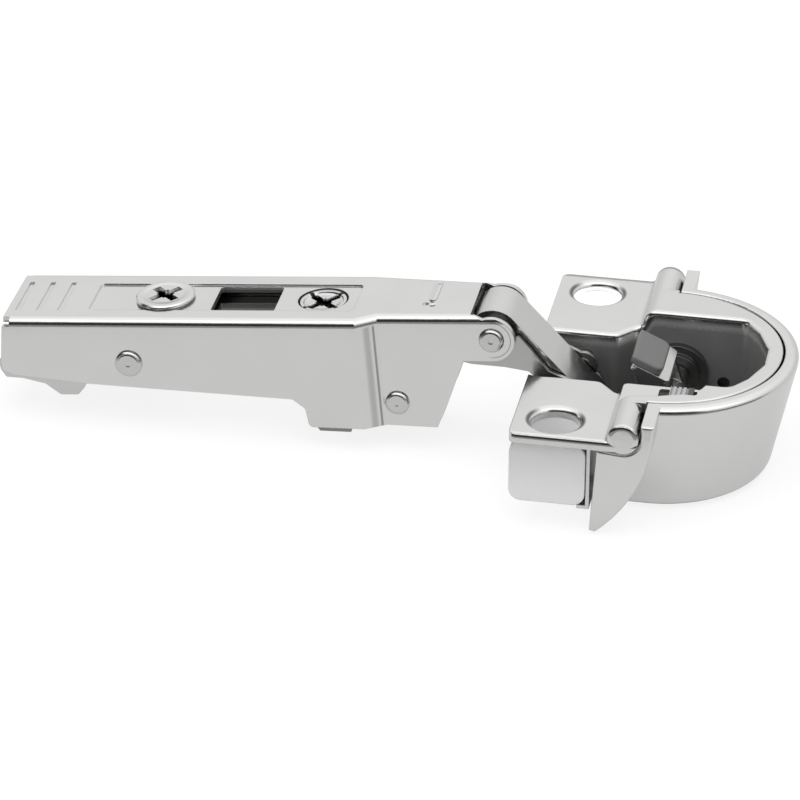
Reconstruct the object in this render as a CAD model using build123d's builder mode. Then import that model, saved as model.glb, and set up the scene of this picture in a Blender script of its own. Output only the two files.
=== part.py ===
from build123d import *
from math import atan2, cos, degrees, hypot, radians, sin
import os

# Concealed cabinet hinge for framed doors, with soft closing, shown fully open.
# Drawn from the middle of the door cup, on the top face of its screw wings.
# +X points to the round nose of the cup, +Z out of the door, and the arm lies towards -X.

# Cup plate: wings, ramp and raised flange pressed from one sheet
plate_t = 1.7
wing_left = -16.2
wing_edge = 5.8
flange_z = 3.06
plate_end = 4.5
bump_r = 2.5
step_r = 0.8
flange_r = 19.3
flange_centre_x = 4.6
wing_corner_r = 1.2
wing_roll = 0.5
opening_roll = 0.8
rim_roll = 0.35

# Screws through the wings
screw_x = -9.5
screw_spacing = 45.0
screw_hole_r = 3.85
screw_hole_roll = 1.1
wing_half_width = screw_spacing / 2 + wing_edge

# Well: the drawn pocket that the links fold into
channel_half_width = 8.0
basin_half_width = 11.6
basin_right = 21.1
well_wall = 0.7
well_floor_z = -15.5
well_end_wall_z = -3.2
well_corner_r = 1.2
window_r = 2.0

# Cover: the U-shaped decorative shell around the well
seam_gap = 0.3
cover_r = 22.1
cover_wall = 0.9
cover_floor_t = 0.8
cover_draft = 12.0
cover_corner_r = 2.5
cover_rim_r = 1.1
knuckle_right = 6.9
knuckle_inner = flange_r + 0.7
fin_half_width = wing_half_width - 0.3
fin_strip = 1.1
fin_roll = 0.4
fin_tip_z = -16.7
fin_left = -2.15
fin_left_low = -3.0
fin_seat_z = -1.85

# Plastic blocks under the wings and the spring clips beside them
block_left = -16.1
block_right = -3.9
block_outer = wing_half_width - 0.8
block_inner = 14.5
block_bottom = -12.4
block_wall = 1.3
block_corner_r = 2.0
clip_t = 0.6
clip_gap = 0.1
clip_inner = block_inner + 3.0
clip_foot = 1.4
sleeve_depth = 4.5
sleeve_wall = 1.0

# Pivots of the two links in the cup
outer_pivot_x = -8.5
outer_pivot_z = -9.0
outer_pin_r = 1.3
inner_pivot_x = -9.14
inner_pivot_z = -4.51
inner_pin_r = 1.3
pin_play = 0.04

# Arm: its own frame starts at the nose pin, leaning down towards the tail
nose_x = -22.61
nose_z = 4.65
arm_lean = 5.43
arm_top = 4.2
arm_t = 1.0
arm_rear_width = 17.37
arm_front_width = 13.53
arm_tail_x = -81.2
joggle_back = -22.0
joggle_front = -18.6
taper_front = -3.9
joggle_r = 1.4
arm_corner_r = 0.9
nose_r = 3.8
nose_pin_r = 2.0
arm_roof_end = -3.3
bend_r = 1.3
head_proud = 0.6
rear_pin_x = -60.5
rear_pin_z = -3.7
rear_pin_r = 1.6
rear_head_r = 2.25
hook_pin_x = -16.5
hook_pin_z = -11.5
hook_pin_r = 1.5
hook_head_r = 2.0

# Recesses and openings in the roof of the arm
panel_back = -67.5
panel_front = -22.9
panel_half_width = 4.8
panel_depth = 0.3
window_back = -46.9
window_front = -36.2
window_half_width = 4.3
depth_cam_x = -55.4
depth_cam_head_r = 4.9
depth_cam_stem_r = 3.0
side_screw_x = -28.8
side_screw_r = 3.85
side_screw_hole_r = 4.2
groove_xs = (-79.5, -75.9, -72.3)
groove_half_width = 5.1
groove_width = 0.8
groove_depth = 0.25
washer_t = 0.35
cam_head_t = 0.55
cam_tail = 1.0
cross_half = 3.0
cross_arm = 1.5
cross_middle = 2.3
cross_depth = 2.0
side_screw_top = arm_top - 0.5
side_screw_head_t = 1.6
side_screw_rim = 0.5
side_screw_shank_r = 2.0
side_screw_shank = 3.4

# Small marks pressed into the roof: a bar and a dimple near the nose, notches at the tail
bar_x = -10.35
bar_width = 1.3
bar_near = -1.2
bar_far = 6.0
bar_h = 0.25
dimple_x = -11.3
dimple_y = -2.1
dimple_r = 0.55
notch = 1.1

# Outer link: a strip rolled round the nose pin and round the lower cup pin
strip_t = 2.2
strip_half_width = 4.4
running_gap = 0.2

# Inner link: two cheeks joined by a web, pinned at the coupler inside the arm
coupler_x = -8.5
coupler_z = -1.3
coupler_pin_r = 1.4
cheek_inner = 4.75
cheek_t = 0.8
coupler_ear_r = 2.4
cup_ear_r = 2.4
spring_wire = 0.38
spring_r = 2.2

# Inside the arm
carrier_top = 0.9
carrier_t = 1.0
clip_lever_t = 0.9
clip_lever_r = 2.6
clip_lever_back = -81.5
clip_lever_front = -56.0
clip_coil_pitch = 1.1
clip_coil_length = 5.5
clip_wire = 0.4

# Damper: rotary damper on the far wall, its lever, pad and switch
damper_x = 5.7
damper_z = -7.4
damper_pin_r = 1.2
damper_disc_r = 5.1
pad_left_x = 0.3
pad_left_z = 3.2
pad_slope = 23.7
pad_length = 5.4
pad_half_width = 4.9
pad_t = 1.2
lever_t = 1.0
tray_left = 0.5
tray_right = 1.6
tray_near = 5.3
tray_far = 5.9
cheek_outer_y = 5.3
lever_hub_r = 2.3
damper_rim_t = 1.3
damper_t = 2.3
housing_inner = 12.4
housing_depth = 3.0
housing_lip = 0.7
slot_left = 5.7
slot_right = 12.0
slot_inner = 12.3
slot_outer = 15.9
pocket_floor_z = 1.8
switch_left = 7.5
switch_right = 11.3
switch_play = 0.2
switch_h = 1.1
rib_pitch = 0.8
rib_gap = 0.3

# Longer than any piece, for cuts that go right through
through = 120.0

SIDE = Plane.XZ
lean = radians(arm_lean)
ARM_SIDE = Plane(origin=(nose_x, 0, nose_z), x_dir=(cos(lean), 0, sin(lean)), z_dir=(0, -1, 0))
ARM_TOP = Plane(origin=(nose_x, 0, nose_z), x_dir=(cos(lean), 0, sin(lean)), z_dir=(-sin(lean), 0, cos(lean)))
slope = radians(pad_slope)
PAD_SIDE = Plane(origin=(pad_left_x, 0, pad_left_z), x_dir=(cos(slope), 0, -sin(slope)), z_dir=(0, -1, 0))
PAD_TOP = Plane(origin=PAD_SIDE.origin, x_dir=PAD_SIDE.x_dir, z_dir=(sin(slope), 0, cos(slope)))
SIDES = {"near": 1, "far": -1}

os.makedirs("parts", exist_ok=True)


def keep(part, name):
    """Store a piece, measured from the middle between the two screws, under the wings."""
    stored = part.moved(Location((-screw_x, 0, plate_t)))
    stored.label = name
    export_step(stored, "parts/" + name + ".step")


def side_plane(distance):
    """A plane across the hinge: positive distances are on the near side, towards -Y."""
    return SIDE.offset(distance)


def arm_point(x, z):
    """A point given in the arm's own frame, as x and z of the whole hinge."""
    return (nose_x + x * cos(lean) - z * sin(lean), nose_z + x * sin(lean) + z * cos(lean))


def cross_recess():
    """Cross for a screwdriver: two bars, and a wider middle where they meet."""
    for turn in (45, 135):
        with Locations(Location((0, 0, 0), (0, 0, turn))):
            Rectangle(2 * cross_half, cross_arm)
    with Locations(Location((0, 0, 0), (0, 0, 45))):
        Rectangle(cross_middle, cross_middle)


lever_cheek = [
    tuple(PAD_SIDE.from_local_coords((x, z)))[0::2]
    for x, z in ((tray_left + 0.1, -pad_t - lever_t / 2), (pad_length + 1.2, -pad_t - lever_t / 2))
] + [(damper_x + 2.2, damper_z), (damper_x - 2.2, damper_z)]

# Outline of the space inside the well, seen from above
window_outline = [
    (wing_left - 1, -channel_half_width),
    (-4.3, -channel_half_width),
    (-1.2, -basin_half_width),
    (16.6, -basin_half_width),
    (19.0, -8.3),
    (basin_right, -2.9),
    (basin_right, 2.9),
    (19.0, 8.3),
    (16.6, basin_half_width),
    (-1.2, basin_half_width),
    (-4.3, channel_half_width),
    (wing_left - 1, channel_half_width),
]
well_bottom_z = well_floor_z - well_wall

# Drain hole low in the walls, and the pocket around the damper switch in the near side of the flange
drain_x = 13.3
drain_z = -9.0
drain_r = 1.0
pocket_outline = [
    (-1.0, -basin_half_width + 1), (-1.0, -18.2), (0.6, -18.2), (6.3, -17.1), (11.2, -15.3), (12.5, -13.6),
    (13.2, -basin_half_width), (13.2, -basin_half_width + 1),
]
bump_x = plate_end - bump_r
bump_z = flange_z - bump_r
step_x = bump_x - bump_r + plate_t
step_inside_r = bump_r - plate_t / 2 - 0.1
flange_under_z = flange_z - plate_t

# Drawn walls and floor of the well, cut off along the middle of the sheet above them
with BuildPart() as well:
    with BuildSketch(Plane.XY.offset(well_bottom_z)) as well_outer:
        Polygon(*window_outline, align=None)
        fillet(well_outer.vertices(), window_r)
        offset(amount=well_wall)
        with Locations((wing_left - 5, 0)):
            Rectangle(10, 60, mode=Mode.SUBTRACT)
    extrude(amount=flange_z - well_bottom_z)
    with BuildSketch(SIDE):
        with BuildLine():
            Polyline(
                (wing_left, well_bottom_z), (wing_left, -plate_t / 2), (bump_x - step_inside_r, -plate_t / 2),
                (bump_x - step_inside_r, bump_z + 0.4), (bump_x, flange_z - plate_t / 2),
                (flange_r + 6, flange_z - plate_t / 2), (flange_r + 6, well_bottom_z), close=True,
            )
        make_face()
    extrude(amount=wing_half_width, both=True, mode=Mode.INTERSECT)
    well_floor = well.faces().sort_by(Axis.Z)[0]
    fillet(well_floor.edges().filter_by_position(Axis.X, wing_left + 0.1, through), well_corner_r)



def on_opening_edge(edge):
    """Upper edges of the plate's opening, from the channel over the step to the round end."""
    middle = edge @ 0.5
    inside = abs(middle.Y) < basin_half_width + 0.01 and wing_left + 0.1 < middle.X < basin_right + 0.01
    top = middle.Z > -0.01 and (middle.X < step_x or middle.Z > flange_z - 0.01)
    return inside and top and abs((edge % 0.5).Z) < 0.95


# Cup body: wings, the rounded step up to the flange, and the drawn well in one sheet
with BuildPart() as cup_body:
    with BuildSketch(SIDE) as step_side:
        with Locations(((wing_left + bump_x) / 2, -plate_t / 2)):
            Rectangle(bump_x - wing_left, plate_t)
        with Locations((bump_x, bump_z)):
            Circle(bump_r)
        with Locations((bump_x + through / 2, flange_z - plate_t / 2)):
            Rectangle(through, plate_t)
        with Locations((step_x + through / 2, flange_under_z - through / 2)):
            Rectangle(through, through, mode=Mode.SUBTRACT)
        with Locations((bump_x, -plate_t - through / 2)):
            Rectangle(through, through, mode=Mode.SUBTRACT)
        fillet(step_side.vertices().filter_by(lambda v: abs(v.Z) < 0.01 and v.X > screw_x), step_r)
        fillet(step_side.vertices().filter_by(
            lambda v: abs(v.Z - flange_under_z) < 0.01 and v.X < bump_x), step_r)
    extrude(amount=knuckle_inner, both=True)
    # wings outside the flange end in a rolled edge, which fits into the cover's knuckle
    for side in SIDES.values():
        with BuildSketch(side_plane(side * knuckle_inner)) as wing_side:
            with Locations(((wing_left + bump_x) / 2, -plate_t / 2)):
                Rectangle(bump_x - wing_left, plate_t)
            with Locations((bump_x, bump_z)):
                Circle(bump_r)
            fillet(wing_side.vertices().filter_by(lambda v: abs(v.Z) < 0.01 and v.X > screw_x), step_r)
        extrude(amount=side * (wing_half_width - knuckle_inner))
    with BuildSketch(Plane.XY.offset(-through / 2)) as plate_plan:
        with Locations(((wing_left + plate_end) / 2, 0)):
            Rectangle(plate_end - wing_left, 2 * wing_half_width)
        fillet(plate_plan.vertices().group_by(Axis.X)[0], wing_corner_r)
        with Locations((flange_centre_x, 0)):
            Circle(flange_r)
    extrude(amount=through, mode=Mode.INTERSECT)
    with BuildSketch(Plane.XY.offset(-through / 2)) as opening_plan:
        Polygon(*window_outline, align=None)
        fillet(opening_plan.vertices(), window_r)
    extrude(amount=through, mode=Mode.SUBTRACT)
    # rolled edges of the opening and of the flange's rim
    fillet(cup_body.edges().filter_by(on_opening_edge), opening_roll)
    fillet(cup_body.edges().filter_by(GeomType.CIRCLE).filter_by(
        lambda e: abs(e.radius - flange_r) < 0.001 and (e @ 0.5).Z > flange_z - 0.01), rim_roll)
    add(well.part)
    # the hollow itself, open at the arm's end above the end wall
    with BuildSketch(Plane.XY.offset(well_floor_z)) as well_inner:
        Polygon(*window_outline, align=None)
        fillet(well_inner.vertices(), window_r)
        with Locations((wing_left + well_wall - 5, 0)):
            Rectangle(10, 60, mode=Mode.SUBTRACT)
    extrude(amount=flange_z + 5 - well_floor_z, mode=Mode.SUBTRACT)
    with BuildSketch(Plane.XY.offset(well_end_wall_z)):
        with Locations((wing_left, 0)):
            Rectangle(4 * well_wall, 2 * channel_half_width)
    extrude(amount=20, mode=Mode.SUBTRACT)
    # pocket in the flange with the slot of the damper switch
    with BuildSketch(Plane.XY.offset(pocket_floor_z)) as pocket_plan:
        Polygon(*pocket_outline, align=None)
        fillet(pocket_plan.vertices().filter_by_position(Axis.X, 0, 13), 1.0)
    extrude(amount=through, mode=Mode.SUBTRACT)
    with BuildSketch(Plane.XY.offset(flange_under_z - 0.1)):
        with Locations(((slot_left + slot_right) / 2, -(slot_inner + slot_outer) / 2)):
            RectangleRounded(slot_right - slot_left, slot_outer - slot_inner, 0.6)
    extrude(amount=through, mode=Mode.SUBTRACT)
    # screw holes, drawn down so that their upper edge is round
    with BuildSketch(Plane.XY.offset(-through / 2)):
        with Locations((screw_x, screw_spacing / 2), (screw_x, -screw_spacing / 2)):
            Circle(screw_hole_r)
    extrude(amount=through, mode=Mode.SUBTRACT)
    fillet(cup_body.edges().filter_by(GeomType.CIRCLE).filter_by(
        lambda e: abs(e.radius - screw_hole_r) < 0.001 and abs(e.center().Z) < 0.01), screw_hole_roll)
    # pin holes through the walls, and a drain hole
    for x, z, r in (
        (outer_pivot_x, outer_pivot_z, outer_pin_r),
        (inner_pivot_x, inner_pivot_z, inner_pin_r),
        (damper_x, damper_z, damper_pin_r),
        (drain_x, drain_z, drain_r),
    ):
        with BuildSketch(SIDE):
            with Locations((x, z)):
                Circle(r + pin_play)
        extrude(amount=basin_half_width + 3, both=True, mode=Mode.SUBTRACT)
keep(cup_body.part, "cup_body")

# Cover: U-shaped shell, its rim level with the flange, with a fin on each side
cover_left = plate_end + seam_gap
cover_floor_z = well_bottom_z
cover_bottom_z = cover_floor_z - cover_floor_t
fin_edge_top = (6.6, 0.0)
fin_edge_mid = (4.5, -8.0)
fin_tip = (-2.0, fin_tip_z)


def u_outline(radius):
    """Half round nose with straight sides that run back under the plate."""
    with Locations((flange_centre_x, 0)):
        Circle(radius)
    with Locations((flange_centre_x - cover_r / 2, 0)):
        Rectangle(cover_r, 2 * radius)


def fin_outline(inset):
    """Fin and knuckle seen from the side; an inset opens the left and moves the other edges inwards."""
    left = 6 * inset
    top = flange_z - inset
    with BuildSketch(mode=Mode.PRIVATE) as fin:
        with BuildLine():
            ThreePointArc(
                (fin_edge_top[0] - inset, fin_edge_top[1]),
                (fin_edge_mid[0] - inset, fin_edge_mid[1] + inset / 2),
                (fin_tip[0] - inset, fin_tip[1] + inset),
            )
            Polyline(
                (fin_tip[0] - inset, fin_tip[1] + inset), (fin_left_low - left, fin_tip[1] + inset + 0.2),
                (fin_left - left, fin_seat_z), (bump_x, bump_z - bump_r - seam_gap),
            )
            RadiusArc(
                (bump_x, bump_z - bump_r - seam_gap), (cover_left, bump_z), -bump_r - seam_gap,
            )
            Polyline(
                (cover_left, bump_z), (cover_left, top), (knuckle_right - inset, top),
                (fin_edge_top[0] - inset, fin_edge_top[1]),
            )
        make_face()
    return fin.sketch


# Space inside the cover, drawn in like its outside
with BuildPart() as cover_space:
    with BuildSketch(Plane.XY.offset(flange_z - cover_wall)):
        u_outline(cover_r - cover_wall)
    extrude(amount=-(flange_z - cover_wall - cover_floor_z), taper=cover_draft)
    fillet(cover_space.faces().sort_by(Axis.Z)[0].edges(), well_corner_r)

with BuildPart() as cover:
    with BuildSketch(Plane.XY.offset(flange_z)):
        u_outline(cover_r)
    extrude(amount=-(flange_z - cover_bottom_z), taper=cover_draft)
    fillet(cover.faces().sort_by(Axis.Z)[0].edges(), cover_corner_r)
    # trim the shell along the sweep of the fin
    with BuildSketch(SIDE):
        with BuildLine():
            ThreePointArc(fin_edge_top, fin_edge_mid, fin_tip)
            Polyline(
                fin_tip, (fin_tip[0], -through), (-through, -through), (-through, through),
                (cover_left, through), (cover_left, fin_edge_top[1]), fin_edge_top,
            )
        make_face()
    extrude(amount=through, both=True, mode=Mode.SUBTRACT)
    # knuckle, fin and the strip that joins them to the shell
    for side in SIDES.values():
        with BuildSketch(side_plane(side * (basin_half_width + 5))):
            add(fin_outline(0))
        extrude(amount=side * (fin_half_width - basin_half_width - 5))
        with BuildSketch(side_plane(side * basin_half_width)):
            add(fin_outline(fin_strip))
        extrude(amount=side * (fin_half_width - fin_strip - basin_half_width), mode=Mode.SUBTRACT)
    add(cover_space.part, mode=Mode.SUBTRACT)
    with BuildSketch(Plane.XY.offset(flange_z - 2 * cover_wall)):
        u_outline(flange_r + seam_gap)
    extrude(amount=3 * cover_wall, mode=Mode.SUBTRACT)
    fillet(cover.faces().sort_by(Axis.Z)[-1].edges().filter_by(GeomType.CIRCLE).filter_by(
        lambda e: e.radius > cover_r - 0.01), cover_rim_r)
    fillet(cover.edges().filter_by(GeomType.CIRCLE).filter_by(
        lambda e: abs(e.radius - flange_r - seam_gap) < 0.001 and (e @ 0.5).Z > flange_z - 0.01), rim_roll)
    fillet(cover.faces().sort_by(Axis.Y)[0].edges(), fin_roll)
    fillet(cover.faces().sort_by(Axis.Y)[-1].edges(), fin_roll)
keep(cover.part, "cup_cover")

# Plastic block under each wing: a moulded shell, open on its inner side, with a sleeve for the screw
for name, side in SIDES.items():
    with BuildPart() as block:
        with BuildSketch(side_plane(side * block_inner)) as block_side:
            with Locations(((block_left + block_right) / 2, (block_bottom - plate_t) / 2)):
                Rectangle(block_right - block_left, -plate_t - block_bottom)
            fillet(block_side.vertices().group_by(Axis.Z)[0], block_corner_r)
        extrude(amount=side * (block_outer - block_inner))
        with BuildSketch(side_plane(side * block_inner)) as block_pocket:
            with Locations(((block_left + block_right) / 2, (block_bottom - plate_t) / 2)):
                Rectangle(block_right - block_left - 2 * block_wall, -plate_t - block_bottom - 2 * block_wall)
            fillet(block_pocket.vertices().group_by(Axis.Z)[0], block_corner_r - block_wall)
        extrude(amount=side * (block_outer - block_wall - block_inner), mode=Mode.SUBTRACT)
        with BuildSketch(Plane.XY.offset(-plate_t)):
            with Locations((screw_x, -side * screw_spacing / 2)):
                Circle(screw_hole_r + sleeve_wall)
        extrude(amount=-sleeve_depth)
        with BuildSketch(Plane.XY.offset(-plate_t)):
            with Locations((screw_x, -side * screw_spacing / 2)):
                Circle(screw_hole_r + 0.1)
        extrude(amount=-sleeve_depth, mode=Mode.SUBTRACT)
    keep(block.part, name + "_frame_block")

    # Spring clip beside the block, its foot hooked under it
    with BuildPart() as clip:
        clip_left = block_right + clip_gap
        clip_bottom = block_bottom - clip_gap - clip_t
        with BuildSketch(side_plane(side * clip_inner)):
            with BuildLine():
                Polyline(
                    (clip_left, -plate_t), (clip_left + clip_t, -plate_t), (clip_left + clip_t, clip_bottom),
                    (clip_left - clip_foot, clip_bottom), (clip_left - clip_foot, clip_bottom + clip_t),
                    (clip_left, clip_bottom + clip_t), close=True,
                )
            make_face()
        extrude(amount=side * (block_outer - 0.4 - clip_inner))
    keep(clip.part, name + "_block_clip")

# Pin of the outer link, across the channel
wall_outer = channel_half_width + well_wall
with BuildPart() as outer_pin:
    with BuildSketch(SIDE):
        with Locations((outer_pivot_x, outer_pivot_z)):
            Circle(outer_pin_r)
    extrude(amount=wall_outer, both=True)
keep(outer_pin.part, "outer_link_pin")

# Pivot studs of the inner link, riveted into each wall so that the strip passes between them
with BuildPart() as inner_studs:
    for side in SIDES.values():
        with BuildSketch(side_plane(side * (cheek_inner - 0.1))):
            with Locations((inner_pivot_x, inner_pivot_z)):
                Circle(inner_pin_r)
        extrude(amount=side * (wall_outer - cheek_inner + 0.1))
keep(inner_studs.part, "inner_link_studs")

# Closing springs: a coil on each end of the lower pin, one leg on the floor, one up the end wall
for name, side in SIDES.items():
    coil_start = side * (cheek_inner + cheek_t + 0.35)
    coil_end = side * (channel_half_width - 0.1)
    with BuildPart() as spring:
        with BuildLine() as coil_line:
            Helix(
                pitch=spring_wire * 2 + 0.12, height=abs(coil_end - coil_start) - 2 * spring_wire,
                radius=spring_r, center=(outer_pivot_x, -coil_start - side * spring_wire, outer_pivot_z),
                direction=(0, -side, 0),
            )
        with BuildSketch(coil_line.line ^ 0):
            Circle(spring_wire)
        sweep()
    keep(spring.part, name + "_closing_spring")

# Outer link
pin_hole_a = nose_pin_r + pin_play
pin_hole_c = outer_pin_r + pin_play
strip_dx = outer_pivot_x - nose_x
strip_dz = outer_pivot_z - nose_z
strip_length = hypot(strip_dx, strip_dz)
normal_x = -strip_dz / strip_length
normal_z = strip_dx / strip_length
with BuildPart() as outer_link:
    with BuildSketch(SIDE):
        with Locations((nose_x, nose_z)):
            Circle(pin_hole_a + strip_t)
        with Locations((outer_pivot_x, outer_pivot_z)):
            Circle(pin_hole_c + strip_t)
        with BuildLine():
            Polyline(
                (nose_x + normal_x * (pin_hole_a + strip_t), nose_z + normal_z * (pin_hole_a + strip_t)),
                (outer_pivot_x + normal_x * (pin_hole_c + strip_t),
                 outer_pivot_z + normal_z * (pin_hole_c + strip_t)),
                (outer_pivot_x + normal_x * pin_hole_c, outer_pivot_z + normal_z * pin_hole_c),
                (nose_x + normal_x * pin_hole_a, nose_z + normal_z * pin_hole_a), close=True,
            )
        make_face()
        with Locations((nose_x, nose_z)):
            Circle(pin_hole_a, mode=Mode.SUBTRACT)
        with Locations((outer_pivot_x, outer_pivot_z)):
            Circle(pin_hole_c, mode=Mode.SUBTRACT)
    extrude(amount=strip_half_width, both=True)
keep(outer_link.part, "outer_link")

# Inner link: two cheeks, arched under the nose pin, and the web between them
coupler = arm_point(coupler_x, coupler_z)
cheek_outline = [
    (coupler[0] + 0.4, coupler[1] - coupler_ear_r),
    (-26.0, -0.6),
    (-20.5, -0.6),
    (-16.6, -1.0),
    (inner_pivot_x - cup_ear_r * 0.8, inner_pivot_z - cup_ear_r * 0.6),
    (inner_pivot_x + cup_ear_r * 0.8, inner_pivot_z + cup_ear_r * 0.6),
    (-13.4, -0.6),
    (-16.4, 3.1),
    (-18.5, 5.4),
    (-19.2, 4.6),
    (-19.3, 2.6),
    (-20.8, 1.5),
    (-24.0, 1.5),
    (coupler[0] + 1.6, coupler[1] + coupler_ear_r * 0.75),
]
web_outline = [(-18.2, -0.9), (-16.3, -1.1), (-12.6, -5.0), (-12.0, -4.4), (-16.0, -0.3), (-18.2, -0.1)]
with BuildPart() as inner_link:
    for side in SIDES.values():
        with BuildSketch(side_plane(side * cheek_inner)) as cheek:
            Polygon(*cheek_outline, align=None)
            fillet(cheek.vertices().filter_by_position(Axis.X, -26.5, -12.0), 0.5)
            with Locations(coupler):
                Circle(coupler_ear_r)
            with Locations((inner_pivot_x, inner_pivot_z)):
                Circle(cup_ear_r)
                Circle(inner_pin_r + pin_play, mode=Mode.SUBTRACT)
            with Locations(coupler):
                Circle(coupler_pin_r + 0.02, mode=Mode.SUBTRACT)
        extrude(amount=side * cheek_t)
    with BuildSketch(SIDE):
        Polygon(*web_outline, align=None)
    extrude(amount=cheek_inner + cheek_t / 2, both=True)
keep(inner_link.part, "inner_link")

with BuildPart() as coupler_pin:
    with BuildSketch(SIDE):
        with Locations(coupler):
            Circle(coupler_pin_r)
    extrude(amount=cheek_inner + cheek_t, both=True)
keep(coupler_pin.part, "coupler_pin")

# Arm: one folded sheet, wide at the tail, joggled in to the narrow nose
arm_outline = [
    (-1.3, nose_r - 0.25), (arm_roof_end + 0.6, arm_top), (arm_tail_x, arm_top),
    (-82.3, -3.4), (-82.3, -5.0), (-80.5, -6.0), (-68.6, -7.5),
    (-33.6, -10.1), (-31.6, -11.8), (-31.2, -15.2), (-18.8, -15.6), (-10.2, -16.0), (-8.7, -13.0),
    (-4.9, -nose_r), (0, -nose_r),
]


def arm_plan(inset):
    """Corners of the arm seen from above: joggled on the near side, tapering on the far side."""
    rear = arm_rear_width / 2 - inset
    front = arm_front_width / 2 - inset
    return [
        (-through, rear), (joggle_back, rear), (taper_front, front), (nose_r + 2, front),
        (nose_r + 2, -front), (joggle_front, -front), (joggle_back, -rear), (-through, -rear),
    ]


def far_flank(x):
    """Distance of the tapering flank from the middle."""
    share = (x - joggle_back) / (taper_front - joggle_back)
    return (arm_rear_width + (arm_front_width - arm_rear_width) * share) / 2


def at_joggle(vertex):
    """Corners of the plan where the flanks bend."""
    x = ARM_TOP.to_local_coords(Vector(*vertex)).X
    return joggle_back - 1 < x < joggle_front + 1


with BuildPart() as arm:
    with BuildSketch(ARM_SIDE) as arm_side:
        Polygon(*arm_outline, align=None)
        fillet(arm_side.vertices().filter_by(
            lambda v: ARM_SIDE.to_local_coords(Vector(*v)).Y < -3 and v.X < nose_x - 3), arm_corner_r)
        with Locations((0, 0)):
            Circle(nose_r)
    extrude(amount=arm_rear_width, both=True)
    with BuildSketch(ARM_TOP.offset(-through / 2)) as plan_outer:
        Polygon(*arm_plan(0), align=None)
        fillet(plan_outer.vertices().filter_by(at_joggle), joggle_r)
    extrude(amount=through, mode=Mode.INTERSECT)
    facing_up = arm.faces().filter_by(lambda f: abs(f.normal_at().dot(ARM_TOP.z_dir) - 1) < 0.001)
    roof = facing_up.sort_by(SortBy.AREA)[-1]
    fillet(roof.edges().filter_by(lambda e: e.length > 1 and abs(e.center().Y) > 1), bend_r)
    with BuildSketch(ARM_TOP.offset(arm_top - arm_t)) as plan_inner:
        Polygon(*arm_plan(arm_t), align=None)
        fillet(plan_inner.vertices().filter_by(at_joggle), joggle_r)
    extrude(amount=-through, mode=Mode.SUBTRACT)
    # open front for the rolled strip
    with BuildSketch(ARM_TOP.offset(-through / 2)):
        with Locations((arm_roof_end + through / 2, 0)):
            Rectangle(through, arm_front_width - 2 * arm_t)
    extrude(amount=through, mode=Mode.SUBTRACT)
    # sunk panel, pressed through so that the roof keeps its thickness
    with BuildSketch(ARM_TOP.offset(arm_top - arm_t)):
        with Locations(((panel_back + panel_front) / 2, 0)):
            RectangleRounded(panel_front - panel_back, 2 * panel_half_width, 0.8)
    extrude(amount=-panel_depth)
    with BuildSketch(ARM_TOP.offset(arm_top)):
        with Locations(((panel_back + panel_front) / 2, 0)):
            RectangleRounded(panel_front - panel_back, 2 * panel_half_width, 0.8)
    extrude(amount=-panel_depth, mode=Mode.SUBTRACT)
    with BuildSketch(ARM_TOP.offset(-5)):
        with Locations(((window_back + window_front) / 2, 0)):
            RectangleRounded(window_front - window_back, 2 * window_half_width, 0.5)
        with Locations((depth_cam_x, 0)):
            Circle(depth_cam_stem_r + pin_play)
        with Locations((side_screw_x, 0)):
            Circle(side_screw_hole_r)
    extrude(amount=20, mode=Mode.SUBTRACT)
    for x in groove_xs:
        with BuildSketch(ARM_TOP.offset(arm_top)):
            with Locations((x, 0)):
                Rectangle(groove_width, 2 * groove_half_width)
        extrude(amount=-groove_depth, mode=Mode.SUBTRACT)
    # pressed marks near the nose, and the notched corners of the tail
    with BuildSketch(ARM_TOP.offset(arm_top)):
        with Locations((bar_x, (bar_near + bar_far) / 2)):
            SlotOverall(bar_far - bar_near, bar_width, rotation=90)
    extrude(amount=bar_h)
    with BuildSketch(ARM_TOP.offset(arm_top)):
        with Locations((dimple_x, dimple_y)):
            Circle(dimple_r)
    extrude(amount=-groove_depth, mode=Mode.SUBTRACT)
    with BuildSketch(ARM_TOP.offset(arm_top - bend_r)):
        with Locations((arm_tail_x, arm_rear_width / 2), (arm_tail_x, -arm_rear_width / 2)):
            Rectangle(2 * notch, 2 * notch)
    extrude(amount=through, mode=Mode.SUBTRACT)
    for x, z, r in (
        (0, 0, nose_pin_r),
        (hook_pin_x, hook_pin_z, hook_pin_r),
        (rear_pin_x, rear_pin_z, rear_pin_r),
    ):
        with BuildSketch(ARM_SIDE):
            with Locations((x, z)):
                Circle(r + pin_play)
        extrude(amount=arm_rear_width, both=True, mode=Mode.SUBTRACT)
keep(arm.part, "arm_shell")

# Riveted pins of the arm
for name, x, z, r, head_r, near, far in (
    ("nose_pin", 0, 0, nose_pin_r, nose_pin_r, arm_front_width / 2, arm_front_width / 2),
    ("hook_pin", hook_pin_x, hook_pin_z, hook_pin_r, hook_head_r, arm_front_width / 2,
     far_flank(hook_pin_x - hook_head_r)),
    ("rear_pin", rear_pin_x, rear_pin_z, rear_pin_r, rear_head_r, arm_rear_width / 2, arm_rear_width / 2),
):
    with BuildPart() as pin:
        with BuildSketch(ARM_SIDE.offset(-far)):
            with Locations((x, z)):
                Circle(r)
        extrude(amount=near + far)
        for start, height in ((near, head_proud), (-far, -head_proud)):
            with BuildSketch(ARM_SIDE.offset(start)):
                with Locations((x, z)):
                    Circle(head_r)
            extrude(amount=height)
        chamfer(pin.edges().filter_by(GeomType.CIRCLE).group_by(Axis.Y)[0], 0.25)
        chamfer(pin.edges().filter_by(GeomType.CIRCLE).group_by(Axis.Y)[-1], 0.25)
    keep(pin.part, name)

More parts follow.
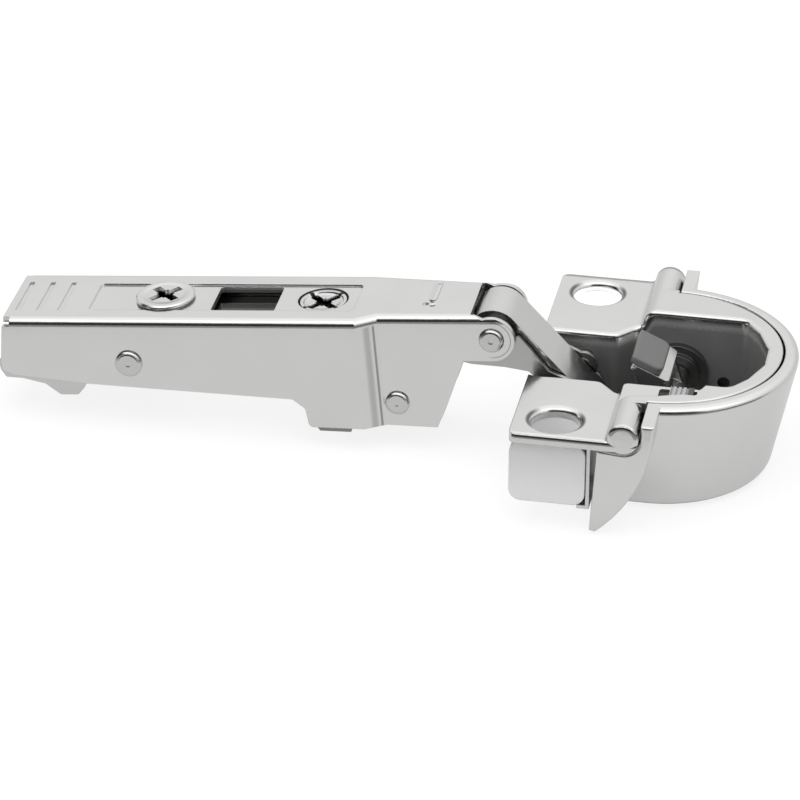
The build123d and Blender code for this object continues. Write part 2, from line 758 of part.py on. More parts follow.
# Carrier: inner channel that clips to the mounting plate and tilts on the rear pin
carrier_outline = [
    (-78.0, carrier_top), (-78.0, -4.2), (-66.0, -6.2), (-34.5, -8.2), (-31.2, -11.5), (-30.6, -15.2),
    (-29.8, -16.5), (-24.6, -16.7), (-24.0, -15.0), (-24.0, carrier_top),
]
carrier_half = arm_rear_width / 2 - arm_t - 0.25
with BuildPart() as carrier:
    with BuildSketch(ARM_SIDE) as carrier_side:
        Polygon(*carrier_outline, align=None)
    extrude(amount=carrier_half, both=True)
    fillet(carrier.edges().filter_by(Axis.Y, reverse=True).filter_by(
        lambda e: ARM_TOP.to_local_coords(e.center()).Z > carrier_top - 0.01 and e.length > 30), 0.9)
    with BuildSketch(ARM_TOP.offset(carrier_top - carrier_t)):
        with Locations((-50, 0)):
            Rectangle(80, 2 * (carrier_half - carrier_t))
    extrude(amount=-30, mode=Mode.SUBTRACT)
    with BuildSketch(ARM_TOP.offset(-8)):
        with Locations((side_screw_x, 0)):
            Circle(side_screw_shank_r + 0.6)
        with Locations(((window_back + window_front) / 2, 0)):
            RectangleRounded(window_front - window_back + 1, 2 * window_half_width, 0.5)
        with Locations((-79, 0)):
            Rectangle(14, 2 * (carrier_half - carrier_t))
    extrude(amount=20, mode=Mode.SUBTRACT)
    with BuildSketch(ARM_SIDE):
        with Locations((rear_pin_x, rear_pin_z)):
            Circle(rear_pin_r + pin_play)
    extrude(amount=arm_rear_width, both=True, mode=Mode.SUBTRACT)
keep(carrier.part, "adjust_carrier")

# Depth cam with its washer, and the side adjustment screw
panel_z = arm_top - panel_depth
with BuildPart() as washer:
    with BuildSketch(ARM_TOP.offset(panel_z)):
        with Locations((depth_cam_x, 0)):
            Circle(depth_cam_head_r - 0.35)
            Circle(depth_cam_stem_r + pin_play, mode=Mode.SUBTRACT)
    extrude(amount=washer_t)
keep(washer.part, "depth_washer")

with BuildPart() as depth_cam:
    with BuildSketch(ARM_TOP.offset(panel_z + washer_t)):
        with Locations((depth_cam_x, 0)):
            Circle(depth_cam_head_r)
    extrude(amount=cam_head_t)
    chamfer(depth_cam.faces().sort_by(lambda f: ARM_TOP.to_local_coords(f.center()).Z)[-1].edges(), 0.25)
    with BuildSketch(ARM_TOP.offset(panel_z + washer_t)):
        with Locations((depth_cam_x, 0)):
            Circle(depth_cam_stem_r)
    extrude(amount=-(washer_t + arm_t + cam_tail))
    with BuildSketch(ARM_TOP.offset(panel_z - arm_t - 0.1)):
        with Locations((depth_cam_x + 0.8, 0)):
            Circle(depth_cam_stem_r + 0.9)
    extrude(amount=-cam_tail + 0.1)
    with BuildSketch(ARM_TOP.offset(panel_z + washer_t + cam_head_t)):
        with Locations((depth_cam_x, 0)):
            cross_recess()
    extrude(amount=-cross_depth, taper=12, mode=Mode.SUBTRACT)
keep(depth_cam.part, "depth_cam")

with BuildPart() as side_screw:
    with BuildSketch(ARM_TOP.offset(side_screw_top - side_screw_head_t)):
        with Locations((side_screw_x, 0)):
            Circle(side_screw_r)
    extrude(amount=side_screw_head_t)
    with BuildSketch(ARM_TOP.offset(side_screw_top - side_screw_head_t)):
        with Locations((side_screw_x, 0)):
            Circle(side_screw_shank_r)
    extrude(amount=-side_screw_shank)
    with BuildSketch(ARM_TOP.offset(side_screw_top)):
        with Locations((side_screw_x, 0)):
            Circle(side_screw_r - side_screw_rim)
    extrude(amount=-0.3, taper=30, mode=Mode.SUBTRACT)
    with BuildSketch(ARM_TOP.offset(side_screw_top)):
        with Locations((side_screw_x, 0)):
            cross_recess()
    extrude(amount=-side_screw_head_t + 0.3, taper=12, mode=Mode.SUBTRACT)
keep(side_screw.part, "side_adjust_screw")

# Clip lever: bent sheet on the rear pin, pressed at the tail to free the arm
lever_cheek_outer = carrier_half - carrier_t - 0.25
clip_lever_outline = [
    (rear_pin_x, rear_pin_z - clip_lever_r), (-68.6, -7.6), (-69.4, -9.6), (-70.6, -10.9), (-73.6, -10.9),
    (-76.0, -8.9), (-79.8, -7.9), (-82.6, -7.7), (-83.4, -6.2), (-83.5, -4.6), (-82.8, -4.2),
    (-80.6, -4.4), (-70.0, -3.6),
    (rear_pin_x, rear_pin_z + clip_lever_r),
]
with BuildPart() as clip_lever:
    with BuildSketch(ARM_SIDE) as lever_side:
        Polygon(*clip_lever_outline, align=None)
        fillet(lever_side.vertices().sort_by(Axis.X)[:-2], 0.4)
        with Locations((rear_pin_x, rear_pin_z)):
            Circle(clip_lever_r)
    extrude(amount=lever_cheek_outer, both=True)
    with BuildSketch(ARM_TOP.offset(-through / 2)):
        with Locations(((clip_lever_back + clip_lever_front) / 2, 0)):
            Rectangle(clip_lever_front - clip_lever_back, 2 * (lever_cheek_outer - clip_lever_t))
    extrude(amount=through, mode=Mode.SUBTRACT)
    with BuildSketch(ARM_SIDE):
        with Locations((rear_pin_x, rear_pin_z)):
            Circle(rear_pin_r + pin_play)
    extrude(amount=arm_rear_width, both=True, mode=Mode.SUBTRACT)
keep(clip_lever.part, "clip_lever")

# Return spring of the clip lever, wound on the rear pin
with BuildPart() as clip_spring:
    with BuildLine() as clip_coil:
        Helix(pitch=clip_coil_pitch, height=clip_coil_length, radius=rear_pin_r + clip_wire + 0.25,
              center=tuple(ARM_SIDE.from_local_coords((rear_pin_x, rear_pin_z, -clip_coil_length / 2))),
              direction=(0, -1, 0))
    with BuildSketch(clip_coil.line ^ 0):
        Circle(clip_wire)
    sweep()
keep(clip_spring.part, "clip_spring")

# Rotary damper on the far wall, and its pin across the well
with BuildPart() as damper:
    for inner, outer, r in ((basin_half_width - damper_rim_t, basin_half_width, damper_disc_r),
                            (basin_half_width - damper_t, basin_half_width, damper_disc_r - 1.3)):
        with BuildSketch(side_plane(-outer)):
            with Locations((damper_x, damper_z)):
                Circle(r)
                Circle(damper_pin_r + pin_play, mode=Mode.SUBTRACT)
        extrude(amount=outer - inner)
keep(damper.part, "rotary_damper")

with BuildPart() as damper_pin:
    with BuildSketch(SIDE):
        with Locations((damper_x, damper_z)):
            Circle(damper_pin_r)
    extrude(amount=basin_half_width + well_wall, both=True)
keep(damper_pin.part, "damper_pin")

# Damper lever: a sloping tray on two cheeks, which the closing links push over
lever_pin = PAD_SIDE.to_local_coords(Vector(damper_x, 0, damper_z))
with BuildPart() as damper_lever:
    with BuildSketch(PAD_TOP.offset(-pad_t)):
        with Locations(((tray_left + pad_length + tray_right) / 2, (tray_far - tray_near) / 2)):
            RectangleRounded(pad_length + tray_right - tray_left, tray_far + tray_near, 0.8)
    extrude(amount=-lever_t)
    for inner in (-cheek_outer_y, cheek_outer_y - lever_t):
        with BuildSketch(side_plane(inner)):
            with BuildLine():
                Polyline(*lever_cheek, close=True)
            make_face()
            with Locations((damper_x, damper_z)):
                Circle(lever_hub_r)
        extrude(amount=lever_t)
    with BuildSketch(side_plane(-(basin_half_width - damper_t - running_gap))):
        with Locations((damper_x, damper_z)):
            Circle(lever_hub_r)
    extrude(amount=2 * (basin_half_width - damper_t - running_gap) - 2.5)
    with BuildSketch(SIDE):
        with Locations((damper_x, damper_z)):
            Circle(damper_pin_r + pin_play)
    extrude(amount=basin_half_width + 2, both=True, mode=Mode.SUBTRACT)
keep(damper_lever.part, "damper_lever")

with BuildPart() as pad:
    with BuildSketch(PAD_TOP.offset(-pad_t)) as pad_plan:
        with Locations((pad_length / 2, 0)):
            Rectangle(pad_length, 2 * pad_half_width)
        fillet(pad_plan.vertices().sort_by(Axis.X)[-2:], 1.4)
    extrude(amount=pad_t)
    fillet(pad.faces().sort_by(lambda f: PAD_TOP.to_local_coords(f.center()).Z)[-1].edges(), 0.3)
keep(pad.part, "damper_pad")

# Switch that turns the damper off: a ribbed slider in its own housing
housing_outer = slot_outer + housing_lip
switch_half_width = (slot_outer - slot_inner) / 2 - switch_play
switch_y = -(slot_inner + slot_outer) / 2
with BuildPart() as switch_housing:
    with BuildSketch(Plane.XY.offset(flange_under_z)):
        with Locations(((slot_left + slot_right) / 2, -(housing_inner + housing_outer) / 2)):
            Rectangle(slot_right - slot_left + 2 * housing_lip, housing_outer - housing_inner)
    extrude(amount=-housing_depth)
keep(switch_housing.part, "switch_housing")

with BuildPart() as switch:
    with BuildSketch(Plane.XY.offset(flange_under_z + 0.05)):
        with Locations(((switch_left + switch_right) / 2, switch_y)):
            Rectangle(switch_right - switch_left, 2 * switch_half_width)
    extrude(amount=switch_h)
    with BuildSketch(Plane.XY.offset(flange_under_z + 0.05 + switch_h)):
        with Locations(((switch_left + switch_right) / 2 - rib_pitch / 2, switch_y)):
            with GridLocations(rib_pitch, 1, 4, 1):
                Rectangle(rib_gap, 2 * switch_half_width)
    extrude(amount=-rib_gap, mode=Mode.SUBTRACT)
keep(switch.part, "damper_switch")
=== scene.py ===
import math

import bpy
from mathutils import Matrix, Vector


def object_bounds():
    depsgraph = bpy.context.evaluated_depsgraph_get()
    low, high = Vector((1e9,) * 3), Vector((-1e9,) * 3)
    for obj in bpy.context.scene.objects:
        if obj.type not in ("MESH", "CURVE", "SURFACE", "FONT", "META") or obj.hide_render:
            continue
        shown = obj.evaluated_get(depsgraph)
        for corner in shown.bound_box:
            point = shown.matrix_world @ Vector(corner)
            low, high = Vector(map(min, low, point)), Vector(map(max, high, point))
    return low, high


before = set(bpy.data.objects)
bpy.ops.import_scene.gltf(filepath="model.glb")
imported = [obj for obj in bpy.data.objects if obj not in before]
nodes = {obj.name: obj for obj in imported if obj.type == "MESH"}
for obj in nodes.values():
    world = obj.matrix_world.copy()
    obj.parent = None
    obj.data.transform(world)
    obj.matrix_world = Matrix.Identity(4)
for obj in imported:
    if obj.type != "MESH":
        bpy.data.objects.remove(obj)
cad_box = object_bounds()
scene = bpy.context.scene
scene.view_settings.view_transform = "Standard"

# Camera, at the photograph's angle: about ten degrees round to the right of the hinge's long near
# side and twenty-eight above it, far off with a long lens.
turn = math.radians(-10.60)
tilt = math.radians(28.44)
roll = math.radians(0.35)
standpoint = Vector((0.0915, -0.6455, 0.3458))
level = Vector((math.cos(turn), -math.sin(turn), 0))
ahead = Vector((math.sin(turn) * math.cos(tilt), math.cos(turn) * math.cos(tilt), -math.sin(tilt)))
above = level.cross(ahead)
right = math.cos(roll) * level + math.sin(roll) * above
up = -math.sin(roll) * level + math.cos(roll) * above
camera = bpy.data.objects.new("camera", bpy.data.cameras.new("camera"))
scene.collection.objects.link(camera)
camera.data.lens = 203.8
camera.data.sensor_width = 36
camera.data.clip_start = 0.05
camera.data.clip_end = 20
camera.matrix_world = Matrix.Translation(standpoint) @ Matrix((right, up, -ahead)).transposed().to_4x4()
scene.camera = camera


# Studio: a pale floor that runs out to white, one wide soft light overhead and a fill from the left.
# The steel mirrors a room of its own: a black band under a bright ceiling at the left front, a softer
# rise to it at the right front, and an even grey behind.
class Wire:
    """A socket of a shader's nodes, with the maths and the nodes that the room and the finishes need."""

    def __init__(self, tree, socket=None):
        self.tree = tree
        self.socket = socket

    def make(self, kind, settings=None, output=0, **inputs):
        """A new node with these settings and inputs, where i0 is its first input."""
        node = self.tree.nodes.new(kind)
        for key, value in (settings or {}).items():
            setattr(node, key, value)
        for key, value in inputs.items():
            numbered = key[0] == "i" and key[1:].isdigit()
            socket = node.inputs[int(key[1:]) if numbered else key.replace("_", " ")]
            if isinstance(value, Wire):
                self.tree.links.new(value.socket, socket)
            else:
                socket.default_value = value
        return Wire(self.tree, node.outputs[output] if len(node.outputs) else None)

    def maths(self, operation, first, second=0.0):
        return self.make("ShaderNodeMath", {"operation": operation}, i0=first, i1=second)

    def __add__(self, other):
        return self.maths("ADD", self, other)

    __radd__ = __add__

    def __mul__(self, other):
        return self.maths("MULTIPLY", self, other)

    __rmul__ = __mul__

    def __sub__(self, other):
        return self.maths("SUBTRACT", self, other)

    def __rsub__(self, other):
        return self.maths("SUBTRACT", other, self)

    def __abs__(self):
        return self.maths("ABSOLUTE", self)

    def hypot(self, other):
        return self.maths("SQRT", self * self + other * other)

    def clamp(self, largest):
        return self.make("ShaderNodeClamp", Value=self, Min=0.0, Max=largest)

    def ramp(self, start, end, first=0.0, last=1.0):
        """Smooth change from first to last as the value goes from start to end."""
        return self.make("ShaderNodeMapRange", {"interpolation_type": "SMOOTHSTEP"}, Value=self,
                         From_Min=start, From_Max=end, To_Min=first, To_Max=last)

    def greys(self, *stops):
        """Greys along a value from 0 to 1, each stop a position and a tone."""
        greys = self.make("ShaderNodeValToRGB", Fac=self)
        elements = greys.socket.node.color_ramp.elements
        while len(elements) < len(stops):
            elements.new(0.5)
        for element, (position, tone) in zip(elements, stops):
            element.position = position
            element.color = (tone, tone, tone, 1)
        return greys

    def vector(self, operation, other=(0, 0, 0)):
        """Vector maths; a length or a dot product comes out as a plain value."""
        output = "Value" if operation in ("LENGTH", "DOT_PRODUCT") else "Vector"
        return self.make("ShaderNodeVectorMath", {"operation": operation}, output, i0=self, i1=other)


white = (1, 1, 1, 1)
room = bpy.data.worlds.new("room")
scene.world = room
room.use_nodes = True
room.node_tree.nodes.clear()
wire = Wire(room.node_tree)
direction = wire.make("ShaderNodeTexCoord", output="Generated")
floor_to_ceiling = wire.make("ShaderNodeSeparateXYZ", output="Z", Vector=direction) * 0.5 + 0.5
behind = floor_to_ceiling.greys((0.0, 0.30), (0.50, 0.33), (0.62, 0.36), (0.70, 0.41), (0.78, 0.45),
                                (0.86, 0.50), (0.94, 0.53), (1.0, 0.56))
left_front = floor_to_ceiling.greys((0.0, 0.20), (0.36, 0.02), (0.75, 0.01), (0.80, 0.05), (0.84, 0.40),
                                    (0.88, 0.76), (0.94, 0.80), (1.0, 0.80))
right_front = floor_to_ceiling.greys((0.0, 0.20), (0.36, 0.02), (0.52, 0.02), (0.56, 0.10), (0.61, 0.30),
                                     (0.72, 0.42), (0.86, 0.72), (1.0, 0.80))
to_the_right = direction.vector("DOT_PRODUCT", (0.50, -0.87, 0.0)).ramp(0.15, 0.50)
to_the_left = direction.vector("DOT_PRODUCT", (-0.50, -0.87, 0.0)).ramp(0.22, 0.38)
walls = wire.make("ShaderNodeMixRGB", Fac=to_the_right, Color1=behind, Color2=right_front)
walls = wire.make("ShaderNodeMixRGB", Fac=to_the_left, Color1=walls, Color2=left_front)
is_camera = wire.make("ShaderNodeLightPath", output="Is Camera Ray")
is_glossy = wire.make("ShaderNodeLightPath", output="Is Glossy Ray")
seen = wire.make("ShaderNodeBackground", Color=white, Strength=1.0)
mirrored = wire.make("ShaderNodeBackground", Color=walls, Strength=2.1)
soft_light = wire.make("ShaderNodeBackground", Color=white, Strength=0.55)
mixed = wire.make("ShaderNodeMixShader", Fac=is_glossy, i1=soft_light, i2=mirrored)
mixed = wire.make("ShaderNodeMixShader", Fac=is_camera, i1=mixed, i2=seen)
wire.make("ShaderNodeOutputWorld", Surface=mixed)

# The floor looks almost white to the camera. In the steel it is pale in an oval round the hinge and
# behind it, and black farther in front.
clearance = 0.0002
floor_z = cad_box[0][2] - clearance
bpy.ops.object.select_all(action="DESELECT")
bpy.ops.mesh.primitive_plane_add(size=4, location=(-0.03, 0, floor_z))
floor = bpy.context.object
floor.name = "floor"
paper = bpy.data.materials.new("pale_floor")
paper.use_nodes = True
paper.node_tree.nodes.clear()
wire = Wire(paper.node_tree)
spot = wire.make("ShaderNodeTexCoord", output="Object")
is_camera = wire.make("ShaderNodeLightPath", output="Is Camera Ray")
is_glossy = wire.make("ShaderNodeLightPath", output="Is Glossy Ray")
from_hinge = spot.vector("SUBTRACT", (0.03, 0.0, 0.0)).vector("MULTIPLY", (0.45, 1.0, 0.0)).vector("LENGTH")
oval = from_hinge.ramp(0.062, 0.068, 0.62, 0.04)
farther_back = spot.vector("DOT_PRODUCT", (0.0, -1.0, 0.0)).ramp(-0.01, 0.02, 0.62, 0.0)
matt = wire.make("ShaderNodeBsdfDiffuse", Color=(0.88, 0.88, 0.88, 1))
seen = wire.make("ShaderNodeEmission", Color=white, Strength=1.0)
mirrored = wire.make("ShaderNodeEmission", Color=white, Strength=wire.maths("MAXIMUM", oval, farther_back))
mixed = wire.make("ShaderNodeMixShader", Fac=is_glossy * 0.8, i1=matt, i2=mirrored)
mixed = wire.make("ShaderNodeMixShader", Fac=is_camera * 0.85, i1=mixed, i2=seen)
wire.make("ShaderNodeOutputMaterial", Surface=mixed)
floor.data.materials.append(paper)

aim = Vector((-0.02, 0, 0))
for name, stand, size, power in (
    ("overhead", Vector((0.0, -0.15, 0.75)), 0.9, 7.0),
    ("fill", Vector((-0.6, -0.6, 0.35)), 0.5, 2.0),
):
    lamp = bpy.data.objects.new(name, bpy.data.lights.new(name, "AREA"))
    lamp.data.size = size
    lamp.data.energy = power
    lamp.location = stand
    lamp.rotation_euler = (aim - stand).to_track_quat("-Z", "Y").to_euler()
    lamp.visible_glossy = False
    scene.collection.objects.link(lamp)


# Cup: wings, step, flange and drawn well pressed from one nickel-plated sheet. Its bends are smooth
# and bright, the sheet between them faintly uneven, and painted shade darkens the inside of the well.
class Finish:
    """A material under way: its wire, the place on the piece in metres and the shader that it feeds."""

    def __init__(self, name):
        self.material = bpy.data.materials.new(name)
        self.material.use_nodes = True
        self.tree = self.material.node_tree
        self.shader = self.tree.nodes["Principled BSDF"]
        self.wire = Wire(self.tree)
        self.place = self.wire.make("ShaderNodeTexCoord", output="Object")
        self.x, self.y, self.z = (
            self.wire.make("ShaderNodeSeparateXYZ", output=axis, Vector=self.place) for axis in "XYZ")

    def noise(self, scale, detail):
        """Three-dimensional noise from 0 to 1, fixed to the piece."""
        return self.wire.make("ShaderNodeTexNoise", Vector=self.place, Scale=scale, Detail=detail)

    def from_point(self, centre, way):
        """How far the place lies from centre in the direction of way."""
        return self.place.vector("SUBTRACT", centre).vector("DOT_PRODUCT", way)

    def from_axle(self, centre, axis):
        """Distance from an axle through centre."""
        return self.place.vector("SUBTRACT", centre).vector("CROSS_PRODUCT", axis).vector("LENGTH")

    def feed(self, value, socket):
        self.tree.links.new(value.socket, self.shader.inputs[socket])

    def colour(self, shade, tint, socket="Base Color"):
        self.feed(self.wire.make("ShaderNodeCombineColor", Red=shade * tint[0], Green=shade * tint[1],
                                 Blue=shade * tint[2]), socket)

    def relief(self, height, edge):
        """Bump of the given height in metres over edges that are rounded off."""
        round_edge = self.wire.make("ShaderNodeBevel", {"samples": 6}, Radius=edge)
        bump = self.wire.make("ShaderNodeBump", Height=height, Strength=1.0, Distance=1.0, Normal=round_edge)
        self.feed(bump, "Normal")


def plated(name, tone, roughness, shade=None, edge=0.00016, height=None, recess=None, shade_tone=0.16):
    """Plated steel; shade multiplies painted shade into its tone, height adds relief and recess lays painted
    shade over its inner sides.
    """
    finish = Finish(name)
    cloud = finish.noise(110.0, 3.0)
    speck = finish.noise(2600.0, 2.0)
    wave = finish.noise(420.0, 1.0)
    wave_height = 0.000020
    brightness = (cloud - 0.5) * (0.10 * tone) + tone
    if shade:
        brightness = brightness * shade(finish)
    rough = (cloud - 0.5) * (0.25 * roughness) + (speck - 0.5) * (0.35 * roughness) + roughness
    finish.shader.inputs["Metallic"].default_value = 1.0
    # Painted shade: where the recess is, a dark, less metallic and rougher tone stands in for the shade over
    # inner sides.
    if recess:
        hollow = recess(finish)
        brightness = brightness * (1 - hollow) + hollow * shade_tone * (cloud * 0.5 + 0.75)
        rough = rough + hollow * 0.12
        finish.feed(1 - hollow * 0.8, "Metallic")
    finish.colour(brightness, (1.0, 1.0, 0.99))
    finish.feed(rough, "Roughness")
    surface = (speck * 0.25 + wave) * wave_height
    if height:
        surface = surface + height(finish)
    finish.relief(surface, edge)
    return finish.material


def dress(material, *names):
    """Gives the named pieces this one material."""
    for name in names:
        nodes[name].data.materials.clear()
        nodes[name].data.materials.append(material)


def painted_shade_in_well(finish):
    """Painted shade over everything below the rim of the opening and between the well's side walls."""
    rim_height = finish.x.ramp(0.0090, 0.0112, 0.0011, 0.0040)
    half_width = finish.x.ramp(0.0050, 0.0084, 0.0084, 0.0118)
    deep = (rim_height - finish.z).ramp(0.0, 0.0022)
    return deep * finish.wire.maths("LESS_THAN", abs(finish.y), half_width)


def rolled_wings(finish):
    """The press rolls the outer edges of the wings, and of the bump where they step up to the flange."""
    roll = 0.0012
    turn_over = 0.7071 * roll  # where the rolled edge has turned halfway, through 45 degrees
    steepest = 0.95 * roll
    wing_top = 0.0017
    wing_end = 0.0283
    bump_radius = 0.0025
    bump = finish.from_axle((0.0115, 0, 0.00226), (0, 1, 0))
    under = finish.wire.maths("MAXIMUM", wing_top - finish.z, bump_radius - bump)
    down_the_end = (turn_over - under).clamp(steepest)
    end_face = finish.wire.maths("GREATER_THAN", abs(finish.y), wing_end - 0.0002)
    over_the_top = (abs(finish.y) - (wing_end - turn_over)).clamp(steepest)
    face = finish.wire.maths("SQRT", roll * roll - down_the_end * down_the_end) - turn_over
    return face * end_face + finish.wire.maths("SQRT", roll * roll - over_the_top * over_the_top)


def from_screw(finish):
    """Distance from the axis of the screw on the same side."""
    hole_y = 0.0225
    return finish.x.hypot(abs(finish.y) - hole_y)


def painted_shade_on_hole_rims(finish):
    """Painted shade on the rolled rims of the screw holes, dark on their left and right, where they turn from
    the light.
    """
    away = from_screw(finish)
    sideways = finish.wire.maths("DIVIDE", abs(finish.x), away).ramp(0.62, 0.96)
    rim = away.ramp(0.0041, 0.0043) * away.ramp(0.0045, 0.0050, 0.78, 0.0)
    return 1 - rim * sideways


dress(plated("cup_sheet", 0.74, 0.17, painted_shade_on_hole_rims, edge=0.0002, height=rolled_wings,
             recess=painted_shade_in_well), "cup_body")


# Cover: deep-drawn shell of the same plated steel, smoother than the folded pieces, pressed over the
# well from below so that its rim lies level with the flange. Its inside is darkened by painted shade.
def painted_shade_in_cover(finish):
    """Painted shade below the flange and within the shell: straight sides, and a round end that narrows
    downwards.
    """
    round_end_x = 0.0141
    past_the_sides = finish.wire.maths("MAXIMUM", finish.x - round_end_x, 0.0)
    shell_radius = finish.z * 0.2126 + 0.02064
    within = finish.wire.maths("LESS_THAN", past_the_sides.hypot(finish.y), shell_radius)
    return within * finish.z.ramp(0.0030, 0.0038, 1.0, 0.0)


dress(plated("cover_sheet", 0.76, 0.18, edge=0.00025, recess=painted_shade_in_cover, shade_tone=0.04), "cup_cover")


# Frame blocks: light grey moulded plastic under the wings, with sharp-edged sleeves for the screws;
# painted shade darkens their tops and a painted glow lights their sleeves, the far one most. Spring
# clips of plated sheet stand beside them and hold them.
def moulded(name, tone, roughness, tint=(1, 1, 1), shade=None, painted_glow=None, edge=0.0003):
    """Moulded plastic with a fine spark-eroded grain; glow adds painted light, an emitted glow."""
    finish = Finish(name)
    grains = finish.noise(5200.0, 3.0)
    cloud = finish.noise(70.0, 2.0)
    grain_height = 0.00001
    brightness = (cloud - 0.5) * (0.06 * tone) + (grains - 0.5) * (0.05 * tone) + tone
    if shade:
        brightness = brightness * shade(finish)
    finish.colour(brightness, tint)
    finish.feed((grains - 0.5) * 0.2 + roughness, "Roughness")
    finish.relief(grains * grain_height, edge)
    if painted_glow:
        finish.colour(painted_glow(finish), (1, 1, 1), "Emission Color")
        finish.shader.inputs["Emission Strength"].default_value = 1.0
    return finish.material


def sleeve(finish):
    """The inside of a block, around the screw, where painted light brightens the plastic."""
    return from_screw(finish).ramp(0.0040, 0.0042, 1.0, 0.0)


# Painted shade and light: darker at the top under the wing, paler towards the bottom, and lighter in the
# sleeve.
def painted_shade_and_sleeve_light(finish):
    return finish.z.ramp(0.0, -0.0105, 0.86, 1.08) + sleeve(finish) * 0.3


# Painted light: a glow in the sleeves, faint in the near block and strong in the far one.
def painted_light_in_sleeves(finish):
    return sleeve(finish) * finish.y.ramp(-0.010, 0.010, 0.12, 0.75)


dress(moulded("grey_plastic_painted_light", 0.50, 0.42, shade=painted_shade_and_sleeve_light, painted_glow=painted_light_in_sleeves),
      "near_frame_block", "far_frame_block")
dress(plated("clip_sheet", 0.74, 0.3), "near_block_clip", "far_block_clip")

# Pins of the cup and the coupler: bright drawn steel. The outer link's pin runs across the channel and
# the inner link's studs are riveted into its walls.
dress(plated("pin_steel", 0.60, 0.22), "outer_link_pin", "inner_link_studs", "damper_pin", "coupler_pin")

# Springs: hard-drawn wire, greased and darker than the plated pieces. A closing spring sits on each end
# of the outer link's pin, and one spring in the arm holds the clip lever shut.
dress(plated("spring_wire", 0.32, 0.28, edge=0.00005),
      "near_closing_spring", "far_closing_spring", "clip_spring")


# Outer link: thick plated strip, rolled round the nose pin. It runs down into the well, where painted
# shade darkens it.
def painted_shade_down_the_strip(finish):
    return finish.z.ramp(0.0030, -0.0060, 1.0, 0.30)


dress(plated("rolled_strip", 0.70, 0.2, painted_shade_down_the_strip), "outer_link")

# Inner link: two cheeks of thin plated sheet and a web between them, folded from one blank and mostly
# hidden under the strip.
dress(plated("cheek_sheet", 0.50, 0.24), "inner_link")

# Arm: one folded sheet of satin nickel, with a pressed panel, marks and grooves in its roof. It is
# joggled inwards on the near side, where painted shade marks the two folds as a strip and a line.
lean = math.radians(5.43)
arm_along = (math.cos(lean), 0, math.sin(lean))
arm_up = (-math.sin(lean), 0, math.cos(lean))
nose_x, nose_z = -13.11, 6.35


def on_arm(x, z):
    """A point of the arm's own frame, millimetres from the nose pin, in the part's frame."""
    return (
        (nose_x + x * math.cos(lean) - z * math.sin(lean)) / 1000,
        0.0,
        (nose_z + x * math.sin(lean) + z * math.cos(lean)) / 1000,
    )


def painted_shade_at_folds(finish):
    """Painted shade on the near side: a strip and a line at the joggle's two folds, and a ring round the nose
    pin.
    """
    along = finish.from_point(on_arm(0, 0), arm_along)
    upward = finish.from_point(on_arm(0, 0), arm_up)
    strip = along.ramp(-0.0211, -0.0204) * along.ramp(-0.0201, -0.0196, 0.30, 0.0)
    line = along.ramp(-0.0195, -0.01935) * along.ramp(-0.0192, -0.0190, 0.55, 0.0)
    below_roof = upward.ramp(0.0024, 0.0030, 1.0, 0.0)
    near = finish.y.ramp(-0.0064, -0.0060, 1.0, 0.0)
    from_nose = finish.from_axle(on_arm(0, 0), (0, 1, 0))
    ring = from_nose.ramp(0.00300, 0.00312) * from_nose.ramp(0.00312, 0.00328, 0.55, 0.0)
    front_half = along.ramp(-0.0012, 0.0006)
    return 1 - ((strip + line) * below_roof + ring * front_half) * near


def pressed_mark(finish):
    """A raised bar with a dimple at its near end, pressed into the roof behind the nose."""
    bar_height = 0.00011
    dimple_depth = 0.00016
    dimple_y = -0.0025
    middle = on_arm(-10.1, 4.2)
    along = finish.from_point(middle, arm_along)
    bar = abs(along).ramp(0.0001, 0.0007, bar_height, 0.0)
    bar = bar * finish.y.ramp(-0.0024, -0.0018) * finish.y.ramp(0.0044, 0.0050, 1.0, 0.0)
    dot = along.hypot(finish.y - dimple_y).ramp(0.0001, 0.0006, -dimple_depth, 0.0)
    return (bar + dot) * finish.from_point(middle, arm_up).ramp(-0.0012, -0.0008)


def painted_shade_under_roof(finish):
    """Painted shade over the inner sides of the channel, seen through its openings."""
    inner = abs(finish.y).ramp(0.0050, 0.0056, 1.0, 0.0)
    return inner * finish.from_point(on_arm(0, 0), arm_up).ramp(0.0034, 0.0037, 1.0, 0.0)


dress(plated("arm_sheet", 0.75, 0.17, shade=painted_shade_at_folds, height=pressed_mark, recess=painted_shade_under_roof, shade_tone=0.08),
      "arm_shell")


# Rivets through the arm: turned steel pins with flat heads on its sides, each dimpled in the middle by
# the riveting tool and rounded off towards its rim.
def riveted(centre, reach):
    """Relief of a head whose radius is reach."""
    dimple_depth = 0.00006
    rim_drop = 0.0001

    def relief(finish):
        away = finish.from_axle(centre, (0, 1, 0))
        dimple = away.ramp(0.0002, 0.0005, 0.0, dimple_depth)
        return dimple + away.ramp(reach * 0.72, reach * 0.86, 0.0, -rim_drop)

    return relief


for name, x, z, reach in (
    ("nose_pin", 0, 0, 0.0020),
    ("hook_pin", -16.5, -11.5, 0.0020),
    ("rear_pin", -60.5, -3.7, 0.00225),
):
    dress(plated(name + "_head", 0.66, 0.22, height=riveted(on_arm(x, z), reach)), name)
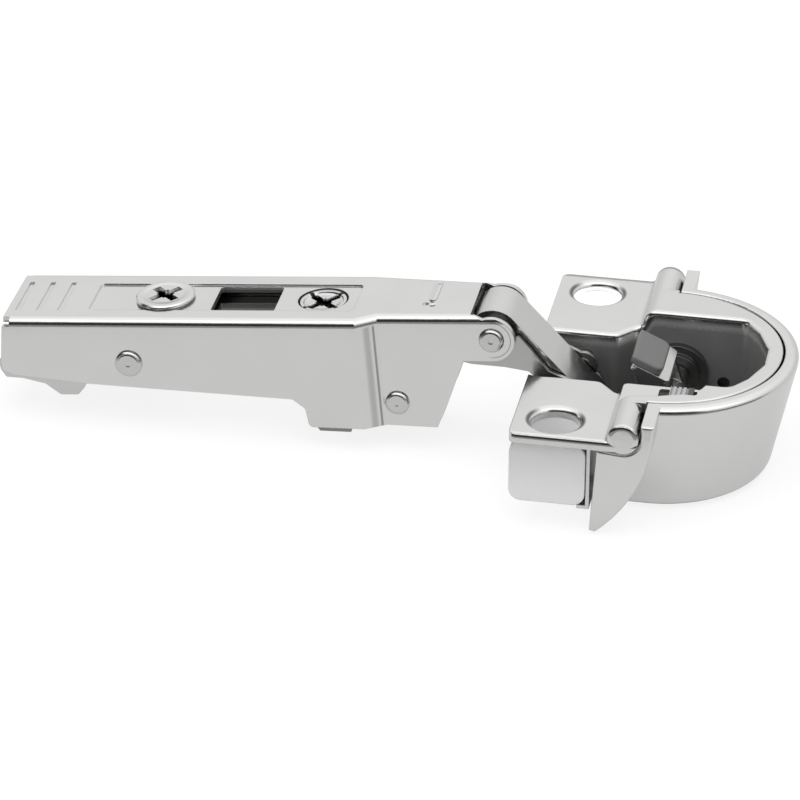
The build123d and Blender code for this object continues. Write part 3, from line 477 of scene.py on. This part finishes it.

# Carrier: inner channel of plated sheet that tilts on the rear pin when the side screw turns. Its dark
# tone is painted shade, for where it lies under the roof, seen through the window.
dress(plated("carrier_sheet", 0.28, 0.3), "adjust_carrier")

# Clip lever: bent plated sheet on the rear pin, pressed at the tail to free the arm from its mounting
# plate.
dress(plated("lever_sheet", 0.66, 0.22), "clip_lever")


# Adjusting screws: zinc-plated cam and side screw, each with a cross recess darkened by painted shade,
# and the cam's steel washer.
def painted_cross_shade(centre, long_arms):
    """Painted shade of the recess: all that lies below the head's face and, with long_arms, a cross on the
    face.
    """
    dark = 0.03
    diagonal = 0.7071

    def recess(finish):
        shade = finish.from_point(centre, arm_up).ramp(-0.0009, -0.0004, dark, 1.0)
        if long_arms:
            for side in (diagonal, -diagonal):
                way = (diagonal * math.cos(lean), side, diagonal * math.sin(lean))
                arm = abs(finish.from_point(centre, way)).ramp(0.00034, 0.00042, dark, 1.0)
                shade = finish.wire.maths("MINIMUM", shade, arm)
        return shade

    return recess


def dished(centre, reach):
    """Relief of a head whose radius is reach and whose face is hollow."""
    depth = 0.00017

    def relief(finish):
        return finish.from_axle(centre, arm_up).ramp(reach * 0.62, reach * 0.84, 0.0, depth)

    return relief


for name, x, z, reach, long_arms in (
    ("depth_cam", -55.4, 4.75, 0.0049, False),
    ("side_adjust_screw", -28.8, 3.7, 0.00385, True),
):
    head = on_arm(x, z)
    zinc = plated(name + "_zinc", 0.74, 0.2, shade=painted_cross_shade(head, long_arms), height=dished(head, reach))
    dress(zinc, name)
dress(plated("washer_steel", 0.35, 0.3), "depth_washer")

# Damper: a steel drum on the far wall of the well, its sheet lever, the soft grey pad that the
# closing link meets, and the plastic switch beside it.
dress(plated("drum_steel", 0.26, 0.3), "rotary_damper")
dress(plated("tray_sheet", 0.66, 0.22), "damper_lever")
dress(moulded("pad_plastic", 0.115, 0.36, (0.98, 1.0, 0.97), edge=0.0007), "damper_pad")
dress(moulded("black_plastic", 0.02, 0.5), "switch_housing")


def dark_tip(finish):
    return finish.x.ramp(0.0196, 0.0201, 1.0, 0.12)


dress(moulded("slider_plastic", 0.33, 0.4, shade=dark_tip), "damper_switch")
